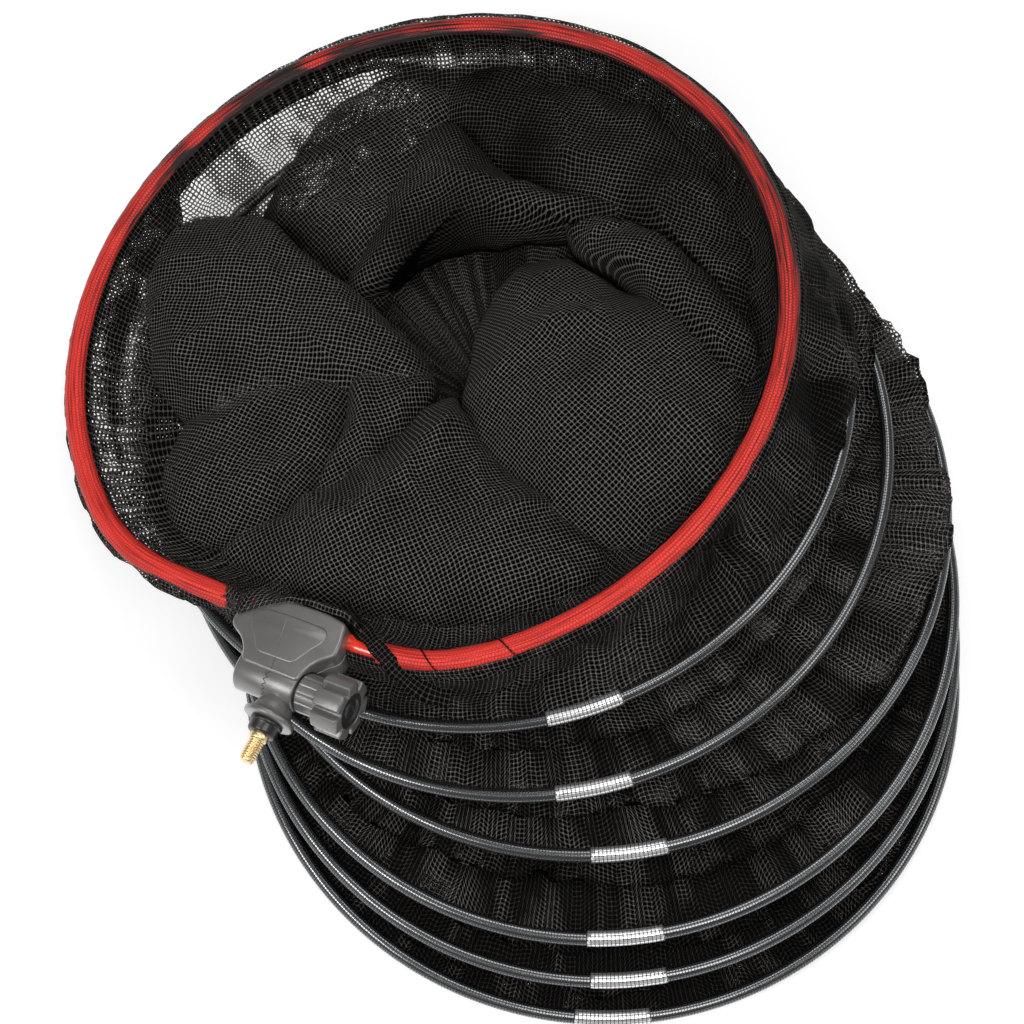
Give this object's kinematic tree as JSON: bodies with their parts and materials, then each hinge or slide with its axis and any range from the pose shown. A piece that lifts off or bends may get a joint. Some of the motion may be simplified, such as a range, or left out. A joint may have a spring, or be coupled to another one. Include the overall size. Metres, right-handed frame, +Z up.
{
  "type": "keep net",
  "caption": "Collapsed tubular fishing keep net on hoops, with a red mouth ring, an angle-adjusting toothed clamp block, lobed hand knob and brass stud.",
  "frame": {"origin": "centre of the lowest hoop, on the floor", "axes": "+Z up; the stack leans towards -X and +Y; the angle block is at the -X -Y side of the mouth ring and its stud points to -Y"},
  "size_m": [0.5439, 0.6125, 0.1988],
  "materials": {
    "black_mesh": "fine knotless mesh",
    "hoop_black": "glossy black coating",
    "ferrule_steel": "bright drawn tube",
    "ring_red": "glossy red lacquer",
    "block_grey": "fine moulded grain",
    "boss_black": "smooth moulded",
    "stud_brass": "turned brass",
    "pivot_steel": "zinc plated"
  },
  "bodies": {
    "base": {"net_base": "black_mesh", "hoop_6": "hoop_black", "ferrule_6": "ferrule_steel", "net_panel_6": "black_mesh"},
    "hoop_5": {"hoop_5": "hoop_black", "ferrule_5": "ferrule_steel", "net_panel_5": "black_mesh"},
    "hoop_4": {"hoop_4": "hoop_black", "ferrule_4": "ferrule_steel", "net_panel_4": "black_mesh"},
    "hoop_3": {"hoop_3": "hoop_black", "ferrule_3": "ferrule_steel", "net_panel_3": "black_mesh"},
    "hoop_2": {"hoop_2": "hoop_black", "ferrule_2": "ferrule_steel", "net_panel_2": "black_mesh"},
    "hoop_1": {"hoop_1": "hoop_black", "ferrule_1": "ferrule_steel", "net_panel_1": "black_mesh"},
    "mouth": {"mouth_ring": "ring_red", "ring_hem": "black_mesh", "ring_block": "block_grey", "grub_screw_left": "pivot_steel", "grub_screw_right": "pivot_steel", "pivot_bolt": "pivot_steel", "barrel_cap": "block_grey", "release_spring": "pivot_steel"},
    "clutch": {"pivot_bush": "stud_brass", "thrust_washer": "pivot_steel"},
    "knob": {"knob": "block_grey", "knob_insert": "stud_brass", "knob_cap": "boss_black"},
    "stud_block": {"stud_block": "block_grey", "stud_boss": "boss_black", "threaded_stud": "stud_brass"}
  },
  "joints": [
    {"name": "hoop_5_lift", "type": "slide", "parent": "base", "child": "hoop_5", "axis": [0, 0, 1], "range_m": [0, 0.27]},
    {"name": "hoop_4_lift", "type": "slide", "parent": "hoop_5", "child": "hoop_4", "axis": [0, 0, 1], "range_m": [0, 0.27]},
    {"name": "hoop_3_lift", "type": "slide", "parent": "hoop_4", "child": "hoop_3", "axis": [0, 0, 1], "range_m": [0, 0.27]},
    {"name": "hoop_2_lift", "type": "slide", "parent": "hoop_3", "child": "hoop_2", "axis": [0, 0, 1], "range_m": [0, 0.27]},
    {"name": "hoop_1_lift", "type": "slide", "parent": "hoop_2", "child": "hoop_1", "axis": [0, 0, 1], "range_m": [0, 0.27]},
    {"name": "mouth_lift", "type": "slide", "parent": "hoop_1", "child": "mouth", "axis": [0, 0, 1], "range_m": [0, 0.24]},
    {"name": "clutch_release", "type": "slide", "parent": "mouth", "child": "clutch", "axis": [0.8636, -0.4287, 0.2652], "range_m": [0, 0.0026]},
    {"name": "knob_turn", "type": "hinge", "parent": "clutch", "child": "knob", "pos_m": [-0.19185, -0.04751, 0.14283], "axis": [0.8636, -0.4287, 0.2652], "range_deg": [0, 749]},
    {"name": "stud_turn", "type": "hinge", "parent": "clutch", "child": "stud_block", "pos_m": [-0.19185, -0.04751, 0.14283], "axis": [0.8636, -0.4287, 0.2652], "range_deg": [-45, 90]}
  ],
  "couplings": [
    {"joint": "knob_turn", "follows": "clutch_release", "rad_per_m": 5026.5}
  ]
}
